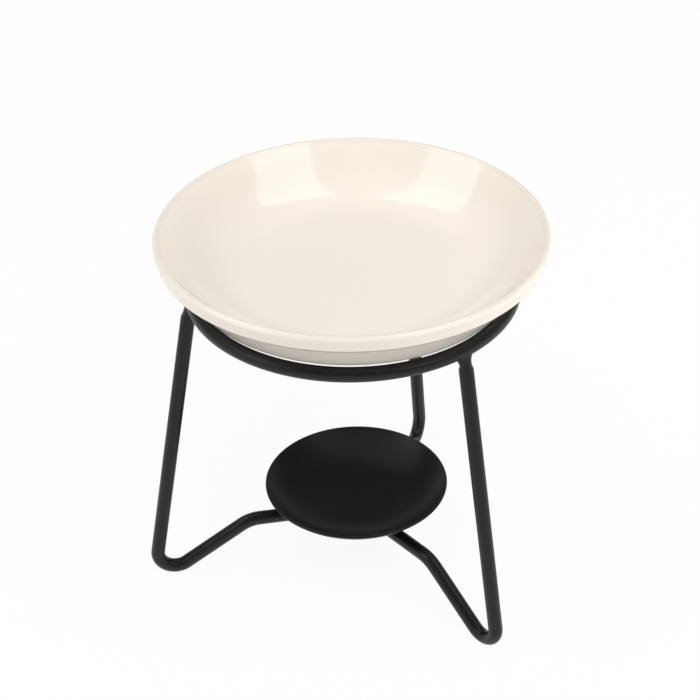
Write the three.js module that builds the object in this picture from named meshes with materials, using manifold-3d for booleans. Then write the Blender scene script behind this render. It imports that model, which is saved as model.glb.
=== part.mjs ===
// Essential oil burner: a glazed dish that lifts off a welded wire stand with a candle pan.
// Millimetres, +Z up, origin on the table under the middle of the ring.
import * as THREE from 'three';
import { mergeVertices } from 'three/addons/utils/BufferGeometryUtils.js';
import Module from 'manifold-3d';

const wasm = await Module();
wasm.setup();

// Rod and ring
const ROD_DIAMETER = 4.5; // 4 mm steel with its coating
const RING_DIAMETER = 98.8; // measured on the rod's centre line
const RING_HEIGHT = 104.8; // the rod's centre above the table

// Legs: down from the ring, round the foot bend, up to the knee and level under the pan
const LEG_COUNT = 3;
const FIRST_LEG_DEG = 180; // heading of the first leg, seen from above
const LEG_SPLAY_DEG = 9.9; // lean of the leg from upright
const LEG_OUTSET = 0.6; // the leg's axis passes this far outside the ring's centre line
const FOOT_BEND_RADIUS = 5.9; // on the rod's centre line
const RISE_DEG = 33.8; // slope of the rod between foot and knee
const KNEE_BEND_RADIUS = 11; // on the rod's centre line
const RUN_HEIGHT = 17.8; // centre of the level run above the table
const RUN_END_RADIUS = 8; // the run's cut end, from the middle of the pan
const LEG_BEVEL = 1; // taken off the rod all round at its top, for the weld
const LEG_BEVEL_LENGTH = 2.6; // along the rod

// Candle pan
const PAN_DIAMETER = 60;
const PAN_HEIGHT = 8; // underside to rim
const PAN_FLAT_DIAMETER = 24; // level middle of the pan
const PAN_SHEET = 0.9;

// Dish
const DISH_DIAMETER = 120;
const DISH_HEIGHT = 18.9;
const DISH_WALL = 3.4;
const DISH_FLOOR = 3.2;
const DISH_TURN_INSET = 0.4; // the wall turns under this far inside the ring's centre line
const DISH_TURN_HEIGHT = 2.75; // that turn above the foot
const DISH_TURN_ROUND = 0.6;
const DISH_SEAT_SLOPE_DEG = 35; // from level, of the face below the turn that bears on the ring
const DISH_LIP_HEIGHT = 4.8; // banded lip, top to lower edge
const DISH_LIP_STEP = 1.7; // from the rim's edge in to the wall under the lip
const DISH_LIP_TAPER = 0.8; // the lip's face draws in towards its lower edge
const DISH_LIP_INNER_ROUND = 1.4;
const DISH_LIP_OUTER_ROUND = 1.2;
const DISH_LIP_EDGE_ROUND = 0.7;
const DISH_FLOOR_FILLET = 25; // inside, from floor to wall
const DISH_BASE_FILLET = 1.5; // outside, from seat to foot
const DISH_FOOT_WIDTH = 6; // foot ring, from the corner of the base inwards
const DISH_RECESS = 1; // depth of the hollow inside the foot ring
const DISH_FOOT_ROUND = 0.5;

// Weld beads
const RING_WELD_ROOT = 1.1; // from the leg's cut end to the ring
const RING_WELD_NECK = 3.5; // the bead's diameter where it is narrowest
const RING_WELD_TOE = 0.15; // bead beside the bevel at its lower edge
const RING_WELD_DROP = 1.4; // bead below the leg's cut end
const RING_WELD_CLIMB = 1.4; // bead above the ring's underside, along its flanks
const RING_WELD_SPREAD = 0.6; // bead beyond its neck at the ring
const PAN_WELD_LENGTH = 9; // along the rod
const PAN_WELD_THROAT = 1.7; // bead beside the rod at the pan
const PAN_WELD_DROP = 3.2; // bead below the pan
const PAN_WELD_SETBACK = 1; // middle of the bead, outwards from the rod's cut end

// Clearances
const SEAT_GAP = 0.4; // dish to ring
const TOUCH_GAP = 0.3; // between pieces that are welded together

// Facets
const ROD_SIDES = 16;
const RING_SEGMENTS = 72;
const DISH_SEGMENTS = 72;
const PAN_SEGMENTS = 60;
const WELD_SEGMENTS = 18;
const BEND_STEP_DEG = 12; // along a rod's bend
const ARC_STEP_DEG = 18; // along a turned outline
const FILLET_SHARE = 0.98; // of a side, at most, for the two fillets at its ends
const MERGE_DISTANCE = 1e-4;

// Finishes
const CREAM_GLAZE = { color: '#f1e8dc', roughness: 0.12, metalness: 0 };
const BLACK_COAT = { color: '#211e1c', roughness: 0.45, metalness: 0.1 };
const BLACK_WELD = { color: '#262320', roughness: 0.55, metalness: 0.1 };

const rad = THREE.MathUtils.degToRad;
const rodRadius = ROD_DIAMETER / 2;
const ringRadius = RING_DIAMETER / 2;
const splay = rad(LEG_SPLAY_DEG);
const rise = rad(RISE_DEG);
const panUnderside = RUN_HEIGHT + rodRadius + TOUCH_GAP;

// A bent rod's centre line in the XZ plane. It has stations only at the ends of its runs and along its bends.
class BentRod extends THREE.Curve {
  constructor(start, heading) {
    super();
    this.stations = [{ point: start, heading }];
  }

  get last() {
    return this.stations[this.stations.length - 1];
  }

  run(length) {
    const { point, heading } = this.last;
    const end = point.clone().addScaledVector(BentRod.along(heading), length);
    this.stations.push({ point: end, heading });
    return this;
  }

  // A positive angle turns the rod to the left, seen with X to the right and Z up.
  bend(angle, radius) {
    const { point, heading } = this.last;
    const side = Math.sign(angle) * Math.PI / 2;
    const centre = point.clone().addScaledVector(BentRod.along(heading + side), radius);
    const steps = Math.ceil(Math.abs(angle) / rad(BEND_STEP_DEG));
    for (let i = 1; i <= steps; i += 1) {
      const turned = heading + (angle * i) / steps;
      const place = centre.clone().addScaledVector(BentRod.along(turned + side), -radius);
      this.stations.push({ point: place, heading: turned });
    }
    return this;
  }

  static along(heading) {
    return new THREE.Vector3(Math.cos(heading), 0, Math.sin(heading));
  }

  get steps() {
    return this.stations.length - 1;
  }

  getPoint(t, target = new THREE.Vector3()) {
    const at = Math.min(t * this.steps, this.steps - 1e-9);
    const i = Math.floor(at);
    return target.lerpVectors(this.stations[i].point, this.stations[i + 1].point, at - i);
  }

  getTangent(t, target = new THREE.Vector3()) {
    const { heading } = this.stations[Math.round(t * this.steps)];
    return target.copy(BentRod.along(heading));
  }

  getUtoTmapping(u) {
    return u;
  }
}

function rodGeometry(path) {
  const section = new THREE.Shape();
  for (let i = 0; i < ROD_SIDES; i += 1) {
    const angle = (i / ROD_SIDES) * Math.PI * 2;
    const x = rodRadius * Math.cos(angle);
    const y = rodRadius * Math.sin(angle);
    if (i === 0) section.moveTo(x, y);
    else section.lineTo(x, y);
  }
  return new THREE.ExtrudeGeometry(section, { steps: path.steps, extrudePath: path });
}

// Corners are [r, z, fillet]. Two fillets that want more than most of the side between them both give way.
function roundedOutline(corners) {
  const points = corners.map(([r, z]) => new THREE.Vector2(r, z));
  const sideTo = (i, j) => points[j].clone().sub(points[i]).normalize();
  const halfAngles = corners.map(([, , fillet = 0], i) => (
    fillet === 0 ? 0 : Math.acos(THREE.MathUtils.clamp(sideTo(i, i - 1).dot(sideTo(i, i + 1)), -1, 1)) / 2
  ));
  const wanted = corners.map(([, , fillet = 0], i) => (fillet === 0 ? 0 : fillet / Math.tan(halfAngles[i])));
  const share = (i, j) => Math.min(1, (FILLET_SHARE * points[i].distanceTo(points[j])) / (wanted[i] + wanted[j]));
  const outline = [];
  corners.forEach(([, , fillet = 0], i) => {
    if (fillet === 0) {
      outline.push(points[i]);
      return;
    }
    const back = sideTo(i, i - 1);
    const ahead = sideTo(i, i + 1);
    const half = halfAngles[i];
    const cut = wanted[i] * Math.min(share(i, i - 1), share(i, i + 1));
    const radius = cut * Math.tan(half);
    const middle = back.clone().add(ahead).normalize();
    const centre = points[i].clone().addScaledVector(middle, radius / Math.sin(half));
    const first = points[i].clone().addScaledVector(back, cut).sub(centre);
    const turn = Math.PI - 2 * half;
    const side = Math.sign(back.cross(ahead));
    const steps = Math.max(2, Math.ceil(turn / rad(ARC_STEP_DEG)));
    for (let k = 0; k <= steps; k += 1) {
      const spoke = first.clone().rotateAround(new THREE.Vector2(), -side * (turn * k) / steps);
      outline.push(spoke.add(centre));
    }
  });
  return outline;
}

function turned(outline, segments) {
  return new THREE.LatheGeometry(outline, segments).rotateX(Math.PI / 2);
}

function toSolid(geometry) {
  const bare = geometry.clone();
  bare.deleteAttribute('normal');
  bare.deleteAttribute('uv');
  const merged = mergeVertices(bare, MERGE_DISTANCE);
  const index = merged.getIndex().array;
  const triangles = [];
  for (let i = 0; i < index.length; i += 3) {
    const [a, b, c] = [index[i], index[i + 1], index[i + 2]];
    if (a !== b && b !== c && c !== a) triangles.push(a, b, c);
  }
  const mesh = new wasm.Mesh({
    numProp: 3,
    vertProperties: merged.getAttribute('position').array,
    triVerts: new Uint32Array(triangles),
  });
  return new wasm.Manifold(mesh);
}

function cutBy(geometry, ...tools) {
  const solid = tools.reduce((rest, tool) => rest.subtract(toSolid(tool)), toSolid(geometry));
  const mesh = solid.getMesh();
  const result = new THREE.BufferGeometry();
  result.setAttribute('position', new THREE.BufferAttribute(mesh.vertProperties, 3));
  result.setIndex(new THREE.BufferAttribute(mesh.triVerts, 1));
  result.computeVertexNormals();
  return result;
}

function named(name, geometry, finish) {
  const mesh = new THREE.Mesh(geometry, new THREE.MeshStandardMaterial(finish));
  mesh.name = name;
  return mesh;
}

// The dish in its own frame, standing on its foot ring at z = 0. The wall is a cone between the banded lip and
// the turn, and the flatter face under the turn centres the dish on the ring.
// The rim's round trims the leaning lip's corner, so that corner stands a little outside the dish's widest line.
const lipLean = Math.atan2(DISH_LIP_TAPER, DISH_LIP_HEIGHT);
const rimTrim = DISH_LIP_OUTER_ROUND * (1 / Math.tan((Math.PI / 2 - lipLean) / 2) - 1);
const dishRadius = DISH_DIAMETER / 2 + rimTrim;
const wallTop = new THREE.Vector2(dishRadius - DISH_LIP_STEP, DISH_HEIGHT - DISH_LIP_HEIGHT);
const wallTurn = new THREE.Vector2(ringRadius - DISH_TURN_INSET, DISH_TURN_HEIGHT);
const wallSlope = wallTop.clone().sub(wallTurn).angle();
const wallRadiusAt = (z) => wallTop.x - (wallTop.y - z) / Math.tan(wallSlope);

function dishOutline() {
  const inset = DISH_WALL / Math.sin(wallSlope);
  const floor = DISH_RECESS + DISH_FLOOR;
  const footOuter = wallTurn.x - wallTurn.y / Math.tan(rad(DISH_SEAT_SLOPE_DEG));
  const footInner = footOuter - DISH_FOOT_WIDTH;
  return roundedOutline([
    [0, DISH_RECESS],
    [footInner - DISH_RECESS, DISH_RECESS, DISH_FOOT_ROUND],
    [footInner, 0, DISH_FOOT_ROUND],
    [footOuter, 0, DISH_BASE_FILLET],
    [wallTurn.x, wallTurn.y, DISH_TURN_ROUND],
    [wallTop.x, wallTop.y, DISH_LIP_EDGE_ROUND],
    [dishRadius - DISH_LIP_TAPER, wallTop.y, DISH_LIP_EDGE_ROUND],
    [dishRadius, DISH_HEIGHT, DISH_LIP_OUTER_ROUND],
    [wallRadiusAt(DISH_HEIGHT) - inset, DISH_HEIGHT, DISH_LIP_INNER_ROUND],
    [wallRadiusAt(floor) - inset, floor, DISH_FLOOR_FILLET],
    [0, floor],
  ]);
}

// Where a turned piece stands when it has dropped until its outline lies one seat gap from the ring.
function heightOnRing(outline) {
  const reach = rodRadius + SEAT_GAP;
  let height = -Infinity;
  for (let i = 1; i < outline.length; i += 1) {
    const [left, right] = [outline[i - 1], outline[i]].sort((a, b) => a.x - b.x);
    const run = right.clone().sub(left);
    const tangent = ringRadius - (reach * run.y) / run.length();
    const touch = THREE.MathUtils.clamp(tangent, left.x, right.x);
    const crown = reach ** 2 - (touch - ringRadius) ** 2;
    const share = run.x > 0 ? (touch - left.x) / run.x : 0;
    const z = left.y + share * run.y;
    if (crown > 0) height = Math.max(height, RING_HEIGHT + Math.sqrt(crown) - z);
  }
  return height;
}

// The pan in its own frame: a level middle and one arc up to the rim, of even sheet.
function panGeometry() {
  const flat = PAN_FLAT_DIAMETER / 2;
  const reach = PAN_DIAMETER / 2 - flat;
  const outerArc = (reach ** 2 + PAN_HEIGHT ** 2) / (2 * PAN_HEIGHT);
  const sweep = Math.asin(reach / outerArc);
  const steps = Math.ceil(sweep / rad(ARC_STEP_DEG / 2));
  const wall = (radius, i) => new THREE.Vector2(
    flat + radius * Math.sin((sweep * i) / steps),
    outerArc - radius * Math.cos((sweep * i) / steps),
  );
  const outline = [new THREE.Vector2(0, 0)];
  for (let i = 0; i <= steps; i += 1) outline.push(wall(outerArc, i));
  for (let i = steps; i >= 0; i -= 1) outline.push(wall(outerArc - PAN_SHEET, i));
  outline.push(new THREE.Vector2(0, PAN_SHEET));
  return turned(outline, PAN_SEGMENTS);
}

// One leg's centre line, from its bevelled top to its inner end under the pan.
const legAxisUp = new THREE.Vector3(-Math.sin(splay), 0, Math.cos(splay));
const legTop = new THREE.Vector3(ringRadius + LEG_OUTSET, 0, RING_HEIGHT)
  .addScaledVector(legAxisUp, -(rodRadius + RING_WELD_ROOT - LEG_OUTSET * Math.sin(splay)));
const tipRadius = rodRadius - LEG_BEVEL;

function legPath() {
  const bendStart = rodRadius + FOOT_BEND_RADIUS * (1 + Math.sin(splay));
  const bendEnd = rodRadius + FOOT_BEND_RADIUS * (1 - Math.cos(rise));
  const kneeStart = RUN_HEIGHT - KNEE_BEND_RADIUS * (1 - Math.cos(rise));
  const path = new BentRod(legTop.clone(), splay - Math.PI / 2)
    .run(LEG_BEVEL_LENGTH)
    .run((legTop.z - bendStart) / Math.cos(splay) - LEG_BEVEL_LENGTH)
    .bend(-(Math.PI / 2 + splay), FOOT_BEND_RADIUS)
    .bend(-rise, FOOT_BEND_RADIUS)
    .run((kneeStart - bendEnd) / Math.sin(rise))
    .bend(rise, KNEE_BEND_RADIUS);
  return path.run(path.last.point.x - RUN_END_RADIUS);
}

// The rod's top ring of corners draws in to the bevel's tip.
function legGeometry() {
  const geometry = rodGeometry(legPath());
  const position = geometry.getAttribute('position');
  const corner = new THREE.Vector3();
  for (let i = 0; i < position.count; i += 1) {
    corner.fromBufferAttribute(position, i).sub(legTop);
    if (Math.abs(corner.dot(legAxisUp)) < MERGE_DISTANCE) {
      corner.multiplyScalar(tipRadius / rodRadius).add(legTop);
      position.setXYZ(i, corner.x, corner.y, corner.z);
    }
  }
  geometry.computeVertexNormals();
  return geometry;
}

// The bead fills the groove between the leg's bevelled tip and the ring, and is cut back from both.
function ringWeldGeometry() {
  const flare = LEG_BEVEL / LEG_BEVEL_LENGTH;
  const tip = tipRadius + TOUCH_GAP;
  const neck = RING_WELD_NECK / 2;
  const top = RING_WELD_ROOT + RING_WELD_CLIMB;
  const bead = turned([
    new THREE.Vector2(0, -RING_WELD_DROP),
    new THREE.Vector2(tip + RING_WELD_DROP * flare + RING_WELD_TOE, -RING_WELD_DROP),
    new THREE.Vector2(neck, TOUCH_GAP),
    new THREE.Vector2(neck, RING_WELD_ROOT),
    new THREE.Vector2(neck + RING_WELD_SPREAD, top),
    new THREE.Vector2(0, top),
  ], WELD_SEGMENTS);
  const below = 2 * RING_WELD_DROP;
  const cone = new THREE.CylinderGeometry(tip, tip + below * flare, below, ROD_SIDES).rotateX(Math.PI / 2);
  cone.translate(0, 0, TOUCH_GAP - below / 2);
  for (const shape of [bead, cone]) {
    shape.rotateY(-splay);
    shape.translate(legTop.x, legTop.y, legTop.z);
  }
  const ring = new THREE.TorusGeometry(ringRadius, rodRadius + TOUCH_GAP, ROD_SIDES, RING_SEGMENTS);
  ring.translate(0, 0, RING_HEIGHT);
  return cutBy(bead, cone, ring);
}

// The bead lies round the run's cut end, in the corner between the rod and the pan's underside.
function panWeldGeometry() {
  const inner = rodRadius + TOUCH_GAP;
  const ceiling = panUnderside - TOUCH_GAP;
  const bead = new THREE.SphereGeometry(1, WELD_SEGMENTS, WELD_SEGMENTS / 2).rotateX(Math.PI / 2);
  bead.scale(PAN_WELD_LENGTH / 2, inner + PAN_WELD_THROAT, PAN_WELD_DROP);
  bead.translate(RUN_END_RADIUS + PAN_WELD_SETBACK, 0, ceiling);
  const rod = new THREE.CylinderGeometry(inner, inner, 2 * PAN_WELD_LENGTH, ROD_SIDES).rotateZ(Math.PI / 2);
  rod.translate(RUN_END_RADIUS - TOUCH_GAP + PAN_WELD_LENGTH, 0, RUN_HEIGHT);
  const above = new THREE.BoxGeometry(2 * PAN_DIAMETER, 2 * PAN_DIAMETER, 2 * PAN_WELD_DROP);
  above.translate(0, 0, ceiling + PAN_WELD_DROP);
  return cutBy(bead, rod, above);
}

const burner = new THREE.Group();

const dishProfile = dishOutline();
const dish = named('oil_dish', turned(dishProfile, DISH_SEGMENTS), CREAM_GLAZE);
dish.position.z = heightOnRing(dishProfile);
burner.add(dish);

const ring = named(
  'support_ring',
  new THREE.TorusGeometry(ringRadius, rodRadius, ROD_SIDES, RING_SEGMENTS),
  BLACK_COAT,
);
ring.position.z = RING_HEIGHT;
burner.add(ring);

const pan = named('candle_pan', panGeometry(), BLACK_COAT);
pan.position.z = panUnderside;
burner.add(pan);

const leg = legGeometry();
const ringWeld = ringWeldGeometry();
const panWeld = panWeldGeometry();
for (let i = 0; i < LEG_COUNT; i += 1) {
  const spoke = new THREE.Group();
  spoke.rotation.z = rad(FIRST_LEG_DEG) + (i * 2 * Math.PI) / LEG_COUNT;
  spoke.add(named(`leg_${i + 1}`, leg, BLACK_COAT));
  spoke.add(named(`ring_weld_${i + 1}`, ringWeld, BLACK_WELD));
  spoke.add(named(`pan_weld_${i + 1}`, panWeld, BLACK_WELD));
  burner.add(spoke);
}

export default burner;
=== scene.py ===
"""Looks for the essential oil burner: a glazed dish on a welded wire stand with a candle pan."""

import math

import bmesh
import bpy
from mathutils import Matrix, Vector, noise


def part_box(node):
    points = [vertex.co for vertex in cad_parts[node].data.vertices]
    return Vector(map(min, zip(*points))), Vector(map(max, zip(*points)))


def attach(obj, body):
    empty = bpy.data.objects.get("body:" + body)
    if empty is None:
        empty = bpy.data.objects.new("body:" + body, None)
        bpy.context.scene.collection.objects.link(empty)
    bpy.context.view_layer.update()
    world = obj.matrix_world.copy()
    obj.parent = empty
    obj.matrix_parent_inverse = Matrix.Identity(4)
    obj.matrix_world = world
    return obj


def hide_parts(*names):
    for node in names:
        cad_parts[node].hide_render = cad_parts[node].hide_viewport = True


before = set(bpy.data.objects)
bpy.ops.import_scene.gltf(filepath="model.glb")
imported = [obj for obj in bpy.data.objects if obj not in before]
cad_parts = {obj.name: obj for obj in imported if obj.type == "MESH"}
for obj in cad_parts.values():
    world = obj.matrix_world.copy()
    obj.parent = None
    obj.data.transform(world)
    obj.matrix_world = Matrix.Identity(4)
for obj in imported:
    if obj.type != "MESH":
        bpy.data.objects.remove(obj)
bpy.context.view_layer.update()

# Sizes are in millimetres and angles in degrees, unless a comment says otherwise
MM = 0.001

# Places and sizes taken from the frame
ring_low, ring_high = (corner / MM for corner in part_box("support_ring"))
dish_low, dish_high = (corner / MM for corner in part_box("oil_dish"))
pan_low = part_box("candle_pan")[0] / MM
ROD_RADIUS = (ring_high.z - ring_low.z) / 2
RING_RADIUS = ring_high.x - ROD_RADIUS
RING_HEIGHT = (ring_high.z + ring_low.z) / 2

# Legs and ring
LEG_HEADINGS = (180, 300, 60)
LEG_SPLAY = 9.9
LEG_OUTSET = 0.6
LEG_ROOT = 1.1
LEG_BEVEL = 0.95
LEG_BEVEL_LENGTH = 2.6
FOOT_BEND = 5.9
RISE = 33.8
KNEE_BEND = 11
RUN_HEIGHT = 17.8
RUN_END = 8
ROD_SIDES = 40
BEND_STEPS = 18
RING_STEPS = 240

# Dish
RIM_RADIUS = 60.2
LIP_HEIGHT = 4.8
LIP_STEP = 1.7
LIP_TAPER = 0.8
LIP_EDGE_ROUND = 0.7
LIP_CORNER_ROUND = 0.3
RIM_OUTER_ROUND = 1.2
RIM_INNER_ROUND = 1.4
WALL = 3.4
FLOOR = 3.2
FLOOR_FILLET = 25
RECESS = 1
TURN_RADIUS = 49
TURN_HEIGHT = 2.75
TURN_ROUND = 0.5
SEAT_SLOPE = 35
FOOT_WIDTH = 6
FOOT_INNER_ROUND = 0.5
FOOT_OUTER_ROUND = 1.5
DISH_TURNS = 180
HAND_WOBBLE = 0.1
WOBBLES_PER_METRE = 22.0

# Candle pan
PAN_RADIUS = 30
PAN_FLAT = 12
PAN_DEPTH = 8
PAN_SHEET = 0.9
PAN_EDGE_ROUND = 0.4
PAN_TURNS = 144
PAN_ARC_STEPS = 22

# Turned pieces: steps in each rounded corner, and how near the points of a seam lie
ARC_STEPS = 14
SEAM_REACH = 0.002

# Weld beads between leg and ring
BEAD_TURNS = 48
BEAD_RISE_STEPS = 12
BEAD_DROP = 1.7
BEAD_WRAP = 72
BEAD_REACH = 3.1
BEAD_SINK = 0.25
BEAD_STANDOFF = 0.02
BEAD_LEG_PULL = 2.3
BEAD_RING_PULL = 4.0
BEAD_RING_LEAD = 0.8
BEAD_LUMP = 0.09
BEAD_LUMP_SCALE = 0.9
BEAD_LUMP_SHIFT = 7.0

# Weld beads under the pan
PAN_BEAD_LENGTH = 9
PAN_BEAD_WIDTH = 8.1
PAN_BEAD_DROP = 3.1
PAN_BEAD_OUTSET = 1
PAN_BEAD_LUMP = 0.05
PAN_BEAD_LUMP_SCALE = 0.6
PAN_BEAD_LUMP_SHIFT = (5.0, 3.0)

# Drift and grain, shared by every finish
DRIFT_DETAIL = 3.0
DRIFT_SPAN = (0.3, 0.7)
DRIFT_SHARE = 0.6
GRAIN_DETAIL = 2.0
GRAIN_SHARE = 0.4

# Glaze
CREAM_LOW = (0.868, 0.798, 0.706, 1)
CREAM_HIGH = (0.882, 0.815, 0.727, 1)
RIM_CREAM = (0.80, 0.735, 0.645, 1)
# Painted shade: the colour of the dark line in the crease under the lip
CREASE_SHADE_COLOUR = (0.62, 0.55, 0.47, 1)
BARE_CLAY = (0.66, 0.57, 0.46, 1)
CLAY_ROUGHNESS = 0.8
RIM_BAND = (1.1, 0.1)
RIM_THINNING = 0.6
# Painted shade line under the lip: its drop below the lip, its band in metres' thousandths, and its
# inset from the rim
CREASE_DROP = 1.25
CREASE_BAND = (0.2, 0.5)
CREASE_INSET = 4
FOOT_BAND = (0.25, 0.1)
GLAZE_GRAIN_STRENGTH = 0.12
GLAZE_GRAIN_DEPTH = 0.02

# Black coat
COAT_DRIFT_SCALE = 60.0
COAT_GRAIN_DEPTH = 0.05

# Camera, measured in the photograph
CAMERA_REACH = 491.2
CAMERA_HEIGHT = 410.23
CAMERA_PITCH = 33.906
CAMERA_ROLL = 1.139
CAMERA_TURN = -9.494
CAMERA_BEARING = -9.636
CAMERA_LENS = 97.034
CAMERA_SENSOR = 36
CAMERA_NEAR = 10

# Floor, with its shadow's reach and its half width in metres
FLOOR_COLOUR = (0.92, 0.92, 0.92, 1)
FLOOR_ROUGHNESS = 0.9
FLOOR_WHITENESS = 0.93
SHADOW_REACH = (0.3, 1.2)
FLOOR_HALF = 4.0

# World. The backdrop's top and the ceiling are heights on a sphere of radius 1
WHITE = (1, 1, 1, 1)
ROOM_SIDES = 0.2
ROOM_TOP = 0.28
BACKDROP_TOP = 0.0
CEILING = 0.35
CEILING_WHITENESS = 0.2

# Lamps, placed as the camera sees them. Mirrors show the soft boxes, but not the fill and the cards
SOFT_LAMPS = {
    "right_softbox": {
        "centre": (491, -35, 1144),
        "size": (570, 1500),
        "lean": (37.5, 0),
        "turn": 12.2,
        "watts": 5.0,
    },
    "left_softbox": {
        "centre": (-903, 180, 1364),
        "size": (899, 2500),
        "lean": (42, 0),
        "turn": -24.8,
        "watts": 12.4,
    },
    "front_fill": {
        "centre": (150, -800, 1400),
        "size": (1200, 800),
        "lean": (0, 0),
        "turn": 0,
        "watts": 12.0,
        "mirrored": False,
    },
    "right_card": {
        "centre": (900, 0, 125),
        "size": (230, 1100),
        "lean": (0, 90),
        "turn": 0,
        "watts": 3.4,
        "mirrored": False,
    },
    "left_card": {
        "centre": (-900, 0, 125),
        "size": (230, 1100),
        "lean": (0, -90),
        "turn": 0,
        "watts": 1.2,
        "mirrored": False,
    },
}


# Nodes

def add_node(tree, kind, inputs=None, **settings):
    """Adds a node, sets it, and fills its inputs with values or links."""
    node = tree.nodes.new(kind)
    for name, value in settings.items():
        setattr(node, name, value)
    for name, value in (inputs or {}).items():
        socket = node.inputs[name]
        if isinstance(value, bpy.types.NodeSocket):
            tree.links.new(value, socket)
        else:
            socket.default_value = value
    return node


def maths(tree, operation, first, second=0.0):
    node = add_node(tree, "ShaderNodeMath", {0: first, 1: second}, operation=operation)
    return node.outputs[0]


def whole(tree, operation, first, second):
    node = add_node(tree, "FunctionNodeIntegerMath", {0: first, 1: second}, operation=operation)
    return node.outputs[0]


def remapped(tree, value, span=(0.0, 1.0), result=(0.0, 1.0), **settings):
    """A value carried from one span over to another, and held inside it."""
    node = add_node(tree, "ShaderNodeMapRange", {
        "Value": value,
        "From Min": span[0],
        "From Max": span[1],
        "To Min": result[0],
        "To Max": result[1],
    }, **settings)
    return node.outputs[0]


def cloudiness(tree, place, scale, detail):
    """Soft noise over a place."""
    node = add_node(tree, "ShaderNodeTexNoise", {
        "Vector": place,
        "Scale": scale,
        "Detail": detail,
    })
    return node.outputs[0]


def blend_values(tree, share, first, second):
    node = add_node(tree, "ShaderNodeMix", {0: share, 2: first, 3: second}, data_type="FLOAT")
    return node.outputs[0]


def blend_colours(tree, share, first, second):
    node = add_node(tree, "ShaderNodeMix", {0: share, 6: first, 7: second}, data_type="RGBA")
    return node.outputs[2]


# Shape trees

def shape_tree(name, sizes):
    """An empty tree with a line going in, a shape coming out, and a named input for each size."""
    tree = bpy.data.node_groups.new(name, "GeometryNodeTree")
    tree.interface.new_socket("Line", in_out="INPUT", socket_type="NodeSocketGeometry")
    for label, kind in sizes:
        tree.interface.new_socket(label, in_out="INPUT", socket_type=kind)
    tree.interface.new_socket("Shape", in_out="OUTPUT", socket_type="NodeSocketGeometry")
    return tree, add_node(tree, "NodeGroupInput").outputs


def finish_tree(tree, shape, finish):
    """Smooth faces, real copies and a finish end every shape tree. Flat end caps stay flat."""
    corners = add_node(tree, "GeometryNodeInputMeshFaceNeighbors").outputs["Vertex Count"]
    quads = add_node(tree, "FunctionNodeCompare", {
        2: corners,
        3: 4,
    }, data_type="INT", operation="LESS_EQUAL")
    smooth = add_node(tree, "GeometryNodeSetShadeSmooth", {
        "Geometry": shape,
        "Shade Smooth": quads.outputs[0],
    })
    real = add_node(tree, "GeometryNodeRealizeInstances", {"Geometry": smooth.outputs[0]})
    dressed = add_node(tree, "GeometryNodeSetMaterial", {
        "Geometry": real.outputs[0],
        "Material": finish,
    })
    add_node(tree, "NodeGroupOutput", {"Shape": dressed.outputs[0]})


def mark_of(tree, name):
    """The number that a line carries at each point."""
    node = add_node(tree, "GeometryNodeInputNamedAttribute", {"Name": name}, data_type="FLOAT")
    return node.outputs[0]


def rounded_line(tree, line, steps, mark):
    """A line as a curve, with an arc at each corner whose radius is the mark there."""
    route = add_node(tree, "GeometryNodeMeshToCurve", {"Mesh": line})
    rounded = add_node(tree, "GeometryNodeFilletCurve", {
        "Curve": route.outputs[0],
        "Count": steps,
        "Radius": mark_of(tree, mark),
    }, mode="POLY")
    return rounded.outputs[0]


def bent_rod_tree():
    """A line becomes a round rod, bent at its corners, and thinner where its girth says so."""
    tree, given = shape_tree("Bent rod", [
        ("Rod radius", "NodeSocketFloat"),
        ("Rod sides", "NodeSocketInt"),
        ("Bend steps", "NodeSocketInt"),
        ("Heading", "NodeSocketRotation"),
        ("Finish", "NodeSocketMaterial"),
    ])
    section = add_node(tree, "GeometryNodeCurvePrimitiveCircle", {
        "Resolution": given["Rod sides"],
        "Radius": given["Rod radius"],
    })
    rod = add_node(tree, "GeometryNodeCurveToMesh", {
        "Curve": rounded_line(tree, given["Line"], given["Bend steps"], "bend"),
        "Profile Curve": section.outputs[0],
        "Scale": mark_of(tree, "girth"),
        "Fill Caps": True,
    })
    turned = add_node(tree, "GeometryNodeTransform", {
        "Geometry": rod.outputs[0],
        "Rotation": given["Heading"],
    })
    finish_tree(tree, turned.outputs[0], given["Finish"])
    return tree


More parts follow.
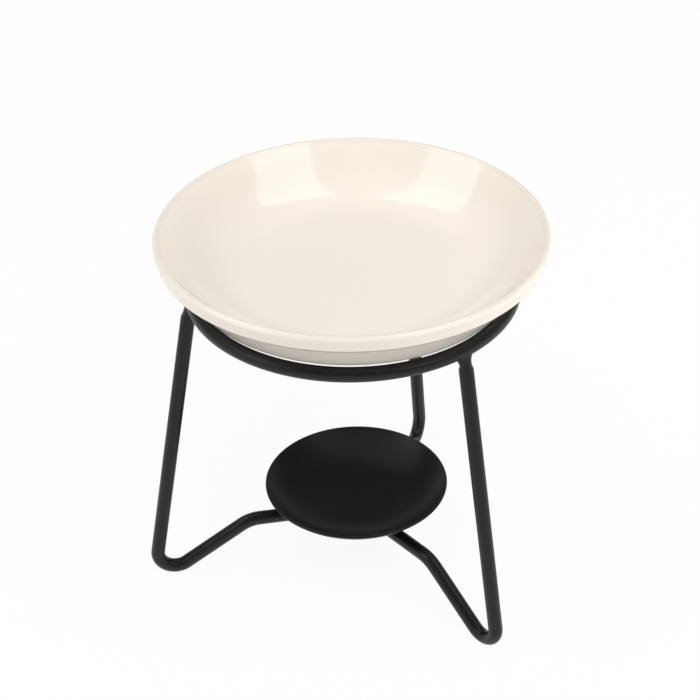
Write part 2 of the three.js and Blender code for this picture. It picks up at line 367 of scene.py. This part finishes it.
def turned_tree():
    """An outline in the XZ plane, rounded at its corners, is turned round Z into a closed shell."""
    tree, given = shape_tree("Turned piece", [
        ("Arc steps", "NodeSocketInt"),
        ("Turns", "NodeSocketInt"),
        ("Wobble", "NodeSocketFloat"),
        ("Finish", "NodeSocketMaterial"),
    ])
    points = add_node(tree, "GeometryNodeCurveToPoints", {
        "Curve": rounded_line(tree, given["Line"], given["Arc steps"], "round"),
    }, mode="EVALUATED").outputs["Points"]
    count = add_node(tree, "GeometryNodeAttributeDomainSize", {
        "Geometry": points,
    }, component="POINTCLOUD")
    ring = whole(tree, "ADD", given["Turns"], 1)
    grid = add_node(tree, "GeometryNodeMeshGrid", {
        "Vertices X": count.outputs["Point Count"],
        "Vertices Y": ring,
    })
    index = add_node(tree, "GeometryNodeInputIndex").outputs[0]
    outline = add_node(tree, "GeometryNodeSampleIndex", {
        "Geometry": points,
        "Value": add_node(tree, "GeometryNodeInputPosition").outputs[0],
        "Index": whole(tree, "DIVIDE_FLOOR", index, ring),
    }, data_type="FLOAT_VECTOR", domain="POINT")
    parts = add_node(tree, "ShaderNodeSeparateXYZ", {0: outline.outputs["Value"]}).outputs
    share = maths(tree, "DIVIDE", whole(tree, "MODULO", index, ring), given["Turns"])
    angle = maths(tree, "MULTIPLY", maths(tree, "FRACT", share), 2 * math.pi)
    corner = add_node(tree, "ShaderNodeCombineXYZ", {
        "X": maths(tree, "MULTIPLY", parts["X"], maths(tree, "COSINE", angle)),
        "Y": maths(tree, "MULTIPLY", parts["X"], maths(tree, "SINE", angle)),
        "Z": parts["Z"],
    }).outputs[0]
    drift = maths(tree, "SUBTRACT", cloudiness(tree, corner, WOBBLES_PER_METRE, 1.0), 0.5)
    lift = add_node(tree, "ShaderNodeCombineXYZ", {
        "Z": maths(tree, "MULTIPLY", drift, given["Wobble"]),
    })
    shell = add_node(tree, "GeometryNodeSetPosition", {
        "Geometry": grid.outputs["Mesh"],
        "Position": corner,
        "Offset": lift.outputs[0],
    })
    closed = add_node(tree, "GeometryNodeMergeByDistance", {
        "Geometry": shell.outputs[0],
        "Distance": SEAM_REACH * MM,
    })
    finish_tree(tree, closed.outputs[0], given["Finish"])
    return tree


# Meshes

def link(piece):
    bpy.context.scene.collection.objects.link(piece)
    return piece


def line_object(name, points, closed=False, **marks):
    """A bare line through points in millimetres, with a number at each point for every mark."""
    mesh = bpy.data.meshes.new(name)
    edges = [(i, i + 1) for i in range(len(points) - 1)]
    if closed:
        edges.append((len(points) - 1, 0))
    mesh.from_pydata([Vector(point) * MM for point in points], edges, [])
    for mark, values in marks.items():
        layer = mesh.attributes.new(mark, "FLOAT", "POINT")
        layer.data.foreach_set("value", values)
    return link(bpy.data.objects.new(name, mesh))


def outward(mesh):
    """Turns every face of a closed mesh outwards."""
    made = bmesh.new()
    made.from_mesh(mesh)
    bmesh.ops.recalc_face_normals(made, faces=made.faces)
    made.to_mesh(mesh)
    made.free()


def shaped_by(piece, tree, sizes):
    """Runs a line through a shape tree and keeps the result as the piece's own plain mesh."""
    modifier = piece.modifiers.new("Shape", "NODES")
    modifier.node_group = tree
    for item in tree.interface.items_tree:
        if item.in_out == "INPUT" and item.name in sizes:
            modifier[item.identifier] = sizes[item.name]
    graph = bpy.context.evaluated_depsgraph_get()
    made = bpy.data.meshes.new_from_object(piece.evaluated_get(graph), depsgraph=graph)
    piece.modifiers.remove(modifier)
    bare = piece.data
    piece.data = made
    bpy.data.meshes.remove(bare)
    outward(made)
    return piece


def solid_object(name, points, faces, finish):
    """A smooth closed mesh through points in millimetres."""
    mesh = bpy.data.meshes.new(name)
    mesh.from_pydata([Vector(point) * MM for point in points], [], faces)
    mesh.materials.append(finish)
    outward(mesh)
    mesh.shade_smooth()
    return link(bpy.data.objects.new(name, mesh))


def rows_of_faces(rows, count):
    """Quads between rows of points, with a fan to a middle point at each end."""
    faces = []
    for row in range(rows - 1):
        for k in range(count):
            a = row * count + k
            b = row * count + (k + 1) % count
            faces.append((a, b, b + count, a + count))
    first = rows * count
    last = first + 1
    top = (rows - 1) * count
    for k in range(count):
        faces.append(((k + 1) % count, k, first))
        faces.append((top + k, top + (k + 1) % count, last))
    return faces


# Finishes

def surface_group():
    """Slow drift and fine grain over a surface, shared by every finish."""
    tree = bpy.data.node_groups.new("Drift and grain", "ShaderNodeTree")
    for label in ("Drift scale", "Grain scale", "Rough low", "Rough high"):
        tree.interface.new_socket(label, in_out="INPUT", socket_type="NodeSocketFloat")
    for label in ("Drift", "Roughness", "Height"):
        tree.interface.new_socket(label, in_out="OUTPUT", socket_type="NodeSocketFloat")
    given = add_node(tree, "NodeGroupInput").outputs
    place = add_node(tree, "ShaderNodeTexCoord").outputs["Object"]
    drift = remapped(tree, cloudiness(tree, place, given["Drift scale"], DRIFT_DETAIL), DRIFT_SPAN)
    grain = cloudiness(tree, place, given["Grain scale"], GRAIN_DETAIL)
    drift_part = maths(tree, "MULTIPLY", drift, DRIFT_SHARE)
    grain_part = maths(tree, "MULTIPLY", grain, GRAIN_SHARE)
    mixed = maths(tree, "ADD", drift_part, grain_part)
    rough = remapped(tree, mixed, result=(given["Rough low"], given["Rough high"]))
    add_node(tree, "NodeGroupOutput", {"Drift": drift, "Roughness": rough, "Height": grain})
    return tree


def finish_material(name, shine, rough, drift_scale, grain_scale):
    """A material with its shader, and its own values in the shared surface group."""
    material = bpy.data.materials.new(name)
    material.use_nodes = True
    tree = material.node_tree
    shader = tree.nodes["Principled BSDF"]
    shader.inputs["Specular IOR Level"].default_value = shine
    surface = add_node(tree, "ShaderNodeGroup", {
        "Drift scale": drift_scale,
        "Grain scale": grain_scale,
        "Rough low": rough[0],
        "Rough high": rough[1],
    }, node_tree=surface_effect)
    return material, tree, shader, surface.outputs


def grain_bump(tree, shader, height, strength, depth):
    bump = add_node(tree, "ShaderNodeBump", {
        "Height": height,
        "Strength": strength,
        "Distance": depth * MM,
    })
    tree.links.new(bump.outputs[0], shader.inputs["Normal"])


def cream_glaze(name, **surface_values):
    """Gloss glaze, thinner along the rim, with painted shade under the lip and bare clay under the
    foot.
    """
    material, tree, shader, surface = finish_material(name, **surface_values)
    place = add_node(tree, "ShaderNodeTexCoord").outputs["Object"]
    height = add_node(tree, "ShaderNodeSeparateXYZ", {0: place}).outputs["Z"]
    level = add_node(tree, "ShaderNodeVectorMath", {
        0: place,
        1: (1, 1, 0),
    }, operation="MULTIPLY").outputs[0]
    reach = add_node(tree, "ShaderNodeVectorMath", {0: level}, operation="LENGTH").outputs["Value"]
    rim_span = [(dish_high.z - drop) * MM for drop in RIM_BAND]
    rim = remapped(tree, height, rim_span, (0.0, RIM_THINNING))
    # Painted shade: a thin dark band round the outside of the dish, just under the lip
    crease_height = (dish_high.z - LIP_HEIGHT - CREASE_DROP) * MM
    from_crease = maths(tree, "ABSOLUTE", maths(tree, "SUBTRACT", crease_height, height))
    crease_span = [distance * MM for distance in CREASE_BAND]
    shade_band = remapped(tree, from_crease, crease_span, (1.0, 0.0))
    outside = maths(tree, "GREATER_THAN", reach, (RIM_RADIUS - CREASE_INSET) * MM)
    crease_shade = maths(tree, "MULTIPLY", shade_band, outside)
    foot_span = [(dish_low.z + rise) * MM for rise in FOOT_BAND]
    foot = remapped(tree, height, foot_span)
    cream = blend_colours(tree, surface["Drift"], CREAM_LOW, CREAM_HIGH)
    thinned = blend_colours(tree, rim, cream, RIM_CREAM)
    crease_shaded = blend_colours(tree, crease_shade, thinned, CREASE_SHADE_COLOUR)
    colour = blend_colours(tree, foot, crease_shaded, BARE_CLAY)
    rough = blend_values(tree, foot, surface["Roughness"], CLAY_ROUGHNESS)
    tree.links.new(colour, shader.inputs["Base Color"])
    tree.links.new(rough, shader.inputs["Roughness"])
    grain_bump(tree, shader, surface["Height"], GLAZE_GRAIN_STRENGTH, GLAZE_GRAIN_DEPTH)
    return material


def black_coat(name, dark, light, grain_strength, **surface_values):
    """Black baked coat: slow drift in tone and gloss over a fine orange-peel grain."""
    material, tree, shader, surface = finish_material(
        name,
        drift_scale=COAT_DRIFT_SCALE,
        **surface_values,
    )
    tone = blend_colours(tree, surface["Drift"], (*dark, 1), (*light, 1))
    tree.links.new(tone, shader.inputs["Base Color"])
    tree.links.new(surface["Roughness"], shader.inputs["Roughness"])
    grain_bump(tree, shader, surface["Height"], grain_strength, COAT_GRAIN_DEPTH)
    return material


surface_effect = surface_group()
CREAM_GLAZE = cream_glaze(
    "cream_glaze_finish",
    shine=0.58,
    rough=(0.05, 0.09),
    drift_scale=26.0,
    grain_scale=900.0,
)
ROD_COAT = black_coat(
    "rod_coat",
    dark=(0.0050, 0.0042, 0.0039),
    light=(0.0075, 0.0064, 0.0060),
    shine=0.34,
    rough=(0.32, 0.40),
    grain_scale=2600.0,
    grain_strength=0.35,
)
BEAD_COAT = black_coat(
    "bead_coat",
    dark=(0.0050, 0.0042, 0.0039),
    light=(0.0080, 0.0068, 0.0064),
    shine=0.34,
    rough=(0.34, 0.44),
    grain_scale=1500.0,
    grain_strength=0.6,
)
PAN_COAT = black_coat(
    "pan_coat",
    dark=(0.0052, 0.0042, 0.0034),
    light=(0.0074, 0.0060, 0.0050),
    shine=0.31,
    rough=(0.32, 0.40),
    grain_scale=2200.0,
    grain_strength=0.3,
)


# Stand

splay = math.radians(LEG_SPLAY)
leg_up = Vector((-math.sin(splay), 0, math.cos(splay)))
leg_out = Vector((math.cos(splay), 0, math.sin(splay)))
leg_side = Vector((0, 1, 0))
leg_tip = Vector((RING_RADIUS + LEG_OUTSET, 0, RING_HEIGHT))
leg_tip -= leg_up * (ROD_RADIUS + LEG_ROOT - LEG_OUTSET * math.sin(splay))


def leg_corners():
    """The corners of a leg's centre line before they are bent, from its tip to its end."""
    rise = math.radians(RISE)
    middle = ROD_RADIUS + FOOT_BEND
    bend_start = middle + FOOT_BEND * math.sin(splay)
    down = (leg_tip.z - bend_start) / math.cos(splay)
    start = leg_tip - leg_up * down
    corner = start - leg_up * (FOOT_BEND * math.tan((math.pi / 2 + splay + rise) / 2))
    climb = (RUN_HEIGHT - corner.z) / math.tan(rise)
    knee = corner + Vector((-1, 0, math.tan(rise))) * climb
    shoulder = leg_tip - leg_up * LEG_BEVEL_LENGTH
    end = Vector((RUN_END, 0, RUN_HEIGHT))
    return [leg_tip, shoulder, corner, knee, end]


def heading_of(number):
    return math.radians(LEG_HEADINGS[number])


def leg_rod(number):
    bends = [0, 0, FOOT_BEND * MM, KNEE_BEND * MM, 0]
    girths = [1 - LEG_BEVEL / ROD_RADIUS, 1, 1, 1, 1]
    piece = line_object(f"leg_rod_{number + 1}", leg_corners(), bend=bends, girth=girths)
    return shaped_by(piece, rod_tree, {
        "Rod radius": ROD_RADIUS * MM,
        "Rod sides": ROD_SIDES,
        "Bend steps": BEND_STEPS,
        "Heading": (0, 0, heading_of(number)),
        "Finish": ROD_COAT,
    })


def ring_rod():
    points = []
    for k in range(RING_STEPS):
        angle = 2 * math.pi * k / RING_STEPS
        points.append((RING_RADIUS * math.cos(angle), RING_RADIUS * math.sin(angle), RING_HEIGHT))
    bends = [0] * RING_STEPS
    girths = [1] * RING_STEPS
    piece = line_object("ring_rod", points, closed=True, bend=bends, girth=girths)
    return shaped_by(piece, rod_tree, {
        "Rod radius": ROD_RADIUS * MM,
        "Rod sides": ROD_SIDES,
        "Bend steps": 1,
        "Heading": (0, 0, 0),
        "Finish": ROD_COAT,
    })


def on_ring(along, wrap, depth=0.0):
    """A point on the ring beside a leg: so far along its rod, and so far round from below."""
    spin = Matrix.Rotation(along / RING_RADIUS, 3, "Z")
    middle = Vector((RING_RADIUS, 0, RING_HEIGHT))
    face = leg_out * math.sin(wrap) - leg_up * math.cos(wrap)
    return spin @ (middle + face * (ROD_RADIUS - depth))


def swept(start, start_way, end, end_way, t):
    """A point on the curve that leaves the start one way and reaches the end another way."""
    leaving = start * (2 * t ** 3 - 3 * t ** 2 + 1) + start_way * (t ** 3 - 2 * t ** 2 + t)
    reaching = end * (3 * t ** 2 - 2 * t ** 3) + end_way * (t ** 3 - t ** 2)
    return leaving + reaching


def ring_bead(number):
    """A hollow fillet of weld from the leg's bevel out onto the ring."""
    flare = LEG_BEVEL / LEG_BEVEL_LENGTH
    low_radius = ROD_RADIUS - LEG_BEVEL + BEAD_DROP * flare
    spin = Matrix.Rotation(heading_of(number), 3, "Z")
    shift = Vector((BEAD_LUMP_SHIFT * number, 0, 0))
    rows = [[] for _ in range(BEAD_RISE_STEPS + 3)]
    for k in range(BEAD_TURNS):
        angle = 2 * math.pi * k / BEAD_TURNS
        face = leg_out * math.cos(angle) + leg_side * math.sin(angle)
        along = BEAD_REACH * math.sin(angle)
        wrap = math.radians(BEAD_WRAP) * math.cos(angle)
        start = leg_tip - leg_up * BEAD_DROP + face * (low_radius + BEAD_STANDOFF)
        start_way = (leg_up - face * flare) * BEAD_LEG_PULL
        end = on_ring(along, wrap)
        end_way = (end - on_ring(BEAD_RING_LEAD * along, BEAD_RING_LEAD * wrap)) * BEAD_RING_PULL
        rows[0].append(start - face * BEAD_SINK)
        for step in range(BEAD_RISE_STEPS + 1):
            t = step / BEAD_RISE_STEPS
            point = swept(start, start_way, end, end_way, t)
            lump = noise.noise(point * BEAD_LUMP_SCALE + shift)
            rows[step + 1].append(point + face * (BEAD_LUMP * lump * math.sin(math.pi * t)))
        rows[-1].append(on_ring(along, wrap, BEAD_SINK))
    points = [point for row in rows for point in row]
    points.append(leg_tip - leg_up * BEAD_DROP)
    points.append(on_ring(0, 0, BEAD_SINK))
    placed = [spin @ point for point in points]
    faces = rows_of_faces(len(rows), BEAD_TURNS)
    return solid_object(f"ring_bead_{number + 1}", placed, faces, BEAD_COAT)


def pan_bead(number):
    """A lump of weld under the pan, round the cut end of the leg."""
    spin = Matrix.Rotation(heading_of(number), 3, "Z")
    side_shift, rise_shift = PAN_BEAD_LUMP_SHIFT
    shift = Vector((0, side_shift * number, rise_shift))
    middle = Vector((RUN_END + PAN_BEAD_OUTSET, 0, pan_low.z))
    points = []
    for step in range(1, BEAD_RISE_STEPS + 1):
        tilt = math.pi / 2 * step / BEAD_RISE_STEPS
        for k in range(BEAD_TURNS):
            angle = 2 * math.pi * k / BEAD_TURNS
            point = Vector((
                PAN_BEAD_LENGTH / 2 * math.sin(tilt) * math.cos(angle),
                PAN_BEAD_WIDTH / 2 * math.sin(tilt) * math.sin(angle),
                -PAN_BEAD_DROP * math.cos(tilt),
            ))
            lump = noise.noise(point * PAN_BEAD_LUMP_SCALE + shift)
            points.append(middle + point * (1 + PAN_BEAD_LUMP * lump))
    points.append(middle - Vector((0, 0, PAN_BEAD_DROP)))
    points.append(middle)
    placed = [spin @ point for point in points]
    faces = rows_of_faces(BEAD_RISE_STEPS, BEAD_TURNS)
    return solid_object(f"pan_bead_{number + 1}", placed, faces, BEAD_COAT)


# Turned pieces

def turned_piece(name, outline, turns, wobble, finish):
    """Turns an outline of radius, height and corner round."""
    points = [(radius, 0, height) for radius, height, _ in outline]
    piece = line_object(name, points, round=[corner * MM for _, _, corner in outline])
    return shaped_by(piece, lathe_tree, {
        "Arc steps": ARC_STEPS,
        "Turns": turns,
        "Wobble": wobble * MM,
        "Finish": finish,
    })


def glazed_dish():
    """The dish from the hollow under its foot, up its wall and over its lip, to its floor."""
    foot = dish_low.z
    rim = dish_high.z
    lip = rim - LIP_HEIGHT
    floor = foot + RECESS + FLOOR
    wall_run = RIM_RADIUS - LIP_STEP - TURN_RADIUS
    wall_rise = lip - foot - TURN_HEIGHT
    run_per_rise = wall_run / wall_rise
    inset = WALL * math.hypot(wall_run, wall_rise) / wall_rise
    foot_outer = TURN_RADIUS - TURN_HEIGHT / math.tan(math.radians(SEAT_SLOPE))
    foot_inner = foot_outer - FOOT_WIDTH

    def inside_at(height):
        return RIM_RADIUS - LIP_STEP - (lip - height) * run_per_rise - inset

    outline = [
        (0, foot + RECESS, 0),
        (foot_inner - RECESS, foot + RECESS, FOOT_INNER_ROUND),
        (foot_inner, foot, FOOT_INNER_ROUND),
        (foot_outer, foot, FOOT_OUTER_ROUND),
        (TURN_RADIUS, foot + TURN_HEIGHT, TURN_ROUND),
        (RIM_RADIUS - LIP_STEP, lip, LIP_CORNER_ROUND),
        (RIM_RADIUS - LIP_TAPER, lip, LIP_EDGE_ROUND),
        (RIM_RADIUS, rim, RIM_OUTER_ROUND),
        (inside_at(rim), rim, RIM_INNER_ROUND),
        (inside_at(floor), floor, FLOOR_FILLET),
        (0, floor, 0),
    ]
    return turned_piece("glazed_dish", outline, DISH_TURNS, HAND_WOBBLE, CREAM_GLAZE)


def pressed_pan():
    """A level middle and one even curve up to a rounded sheet edge."""
    bottom = pan_low.z
    reach = PAN_RADIUS - PAN_FLAT
    bow = (reach ** 2 + PAN_DEPTH ** 2) / (2 * PAN_DEPTH)
    sweep = math.asin(reach / bow)
    outside = []
    inside = []
    for k in range(PAN_ARC_STEPS + 1):
        angle = sweep * k / PAN_ARC_STEPS
        edge = PAN_EDGE_ROUND if k == PAN_ARC_STEPS else 0
        for side, radius in ((outside, bow), (inside, bow - PAN_SHEET)):
            across = PAN_FLAT + radius * math.sin(angle)
            height = bottom + bow - radius * math.cos(angle)
            side.append((across, height, edge))
    outline = [(0, bottom, 0), *outside, *reversed(inside), (0, bottom + PAN_SHEET, 0)]
    return turned_piece("pressed_pan", outline, PAN_TURNS, 0, PAN_COAT)


rod_tree = bent_rod_tree()
lathe_tree = turned_tree()

dish = glazed_dish()
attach(dish, "dish")
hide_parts("oil_dish")

stand_pieces = [(ring_rod(), "support_ring"), (pressed_pan(), "candle_pan")]
for number in range(len(LEG_HEADINGS)):
    stand_pieces.append((leg_rod(number), f"leg_{number + 1}"))
    stand_pieces.append((ring_bead(number), f"ring_weld_{number + 1}"))
    stand_pieces.append((pan_bead(number), f"pan_weld_{number + 1}"))
for piece, node in stand_pieces:
    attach(piece, "stand")
    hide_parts(node)


# Floor, light and camera

camera_spin = Matrix.Rotation(math.radians(CAMERA_BEARING), 3, "Z")


def ray_shares(tree):
    """1 for rays from the camera, and 1 for mirror rays and rays through glass."""
    path = add_node(tree, "ShaderNodeLightPath").outputs
    mirror_rays = maths(tree, "MAXIMUM", path["Is Glossy Ray"], path["Is Transmission Ray"])
    return path["Is Camera Ray"], mirror_rays


def white_floor():
    """A white floor that keeps the shadow near the object and is backdrop farther out."""
    material = bpy.data.materials.new("white_floor")
    material.use_nodes = True
    tree = material.node_tree
    shader = tree.nodes["Principled BSDF"]
    shader.inputs["Base Color"].default_value = FLOOR_COLOUR
    shader.inputs["Roughness"].default_value = FLOOR_ROUGHNESS
    shader.inputs["Specular IOR Level"].default_value = 0.0
    white = add_node(tree, "ShaderNodeEmission", {"Color": WHITE, "Strength": 1.0})
    place = add_node(tree, "ShaderNodeTexCoord").outputs["Object"]
    away = add_node(tree, "ShaderNodeVectorMath", {0: place}, operation="LENGTH").outputs["Value"]
    whiteness = remapped(
        tree,
        away,
        SHADOW_REACH,
        (FLOOR_WHITENESS, 1.0),
        interpolation_type="SMOOTHSTEP",
    )
    seen = maths(tree, "MAXIMUM", *ray_shares(tree))
    mixed = add_node(tree, "ShaderNodeMixShader", {
        0: maths(tree, "MULTIPLY", seen, whiteness),
        1: shader.outputs[0],
        2: white.outputs[0],
    })
    tree.links.new(mixed.outputs[0], tree.nodes["Material Output"].inputs["Surface"])
    mesh = bpy.data.meshes.new("floor")
    corners = [
        (-FLOOR_HALF, -FLOOR_HALF, 0),
        (FLOOR_HALF, -FLOOR_HALF, 0),
        (FLOOR_HALF, FLOOR_HALF, 0),
        (-FLOOR_HALF, FLOOR_HALF, 0),
    ]
    mesh.from_pydata(corners, [], [(0, 1, 2, 3)])
    mesh.materials.append(material)
    link(bpy.data.objects.new("floor", mesh))


def white_world():
    """White for the camera, white under a dark ceiling for mirrors, and plain fill light."""
    world = bpy.data.worlds.new("white_room")
    world.use_nodes = True
    bpy.context.scene.world = world
    tree = world.node_tree
    backdrop = tree.nodes["Background"]
    backdrop.inputs["Color"].default_value = WHITE
    way = add_node(tree, "ShaderNodeTexCoord").outputs["Generated"]
    height = add_node(tree, "ShaderNodeSeparateXYZ", {0: way}).outputs["Z"]
    room = remapped(tree, height, result=(ROOM_SIDES, ROOM_TOP))
    mirrored = remapped(tree, height, (BACKDROP_TOP, CEILING), (1.0, CEILING_WHITENESS))
    from_camera, from_mirror = ray_shares(tree)
    unseen = blend_values(tree, from_mirror, room, mirrored)
    strength = blend_values(tree, from_camera, unseen, 1.0)
    tree.links.new(strength, backdrop.inputs["Strength"])


def soft_lamp(name, centre, size, lean, turn, watts, mirrored=True):
    """A soft box or a fill over the object, or a card tipped upright beside it."""
    lamp = bpy.data.lights.new(name, "AREA")
    lamp.shape = "RECTANGLE"
    lamp.size = size[0] * MM
    lamp.size_y = size[1] * MM
    lamp.energy = watts
    holder = link(bpy.data.objects.new(name, lamp))
    holder.location = camera_spin @ Vector(centre) * MM
    holder.rotation_euler = [math.radians(angle) for angle in (*lean, turn + CAMERA_BEARING)]
    holder.visible_glossy = mirrored
    holder.visible_camera = False


def photo_camera():
    lens = bpy.data.cameras.new("photo_camera")
    lens.lens = CAMERA_LENS
    lens.sensor_width = CAMERA_SENSOR
    lens.clip_start = CAMERA_NEAR * MM
    camera = link(bpy.data.objects.new("photo_camera", lens))
    turn = Matrix.Rotation(math.radians(CAMERA_TURN), 4, "Z")
    tilt = Matrix.Rotation(math.radians(90 - CAMERA_PITCH), 4, "X")
    roll = Matrix.Rotation(math.radians(-CAMERA_ROLL), 4, "Z")
    place = camera_spin @ Vector((0, -CAMERA_REACH, CAMERA_HEIGHT)) * MM
    camera.matrix_world = Matrix.Translation(place) @ turn @ tilt @ roll
    bpy.context.scene.camera = camera


white_floor()
white_world()
for lamp_name, lamp_setting in SOFT_LAMPS.items():
    soft_lamp(lamp_name, **lamp_setting)
photo_camera()
bpy.context.scene.view_settings.view_transform = "Standard"
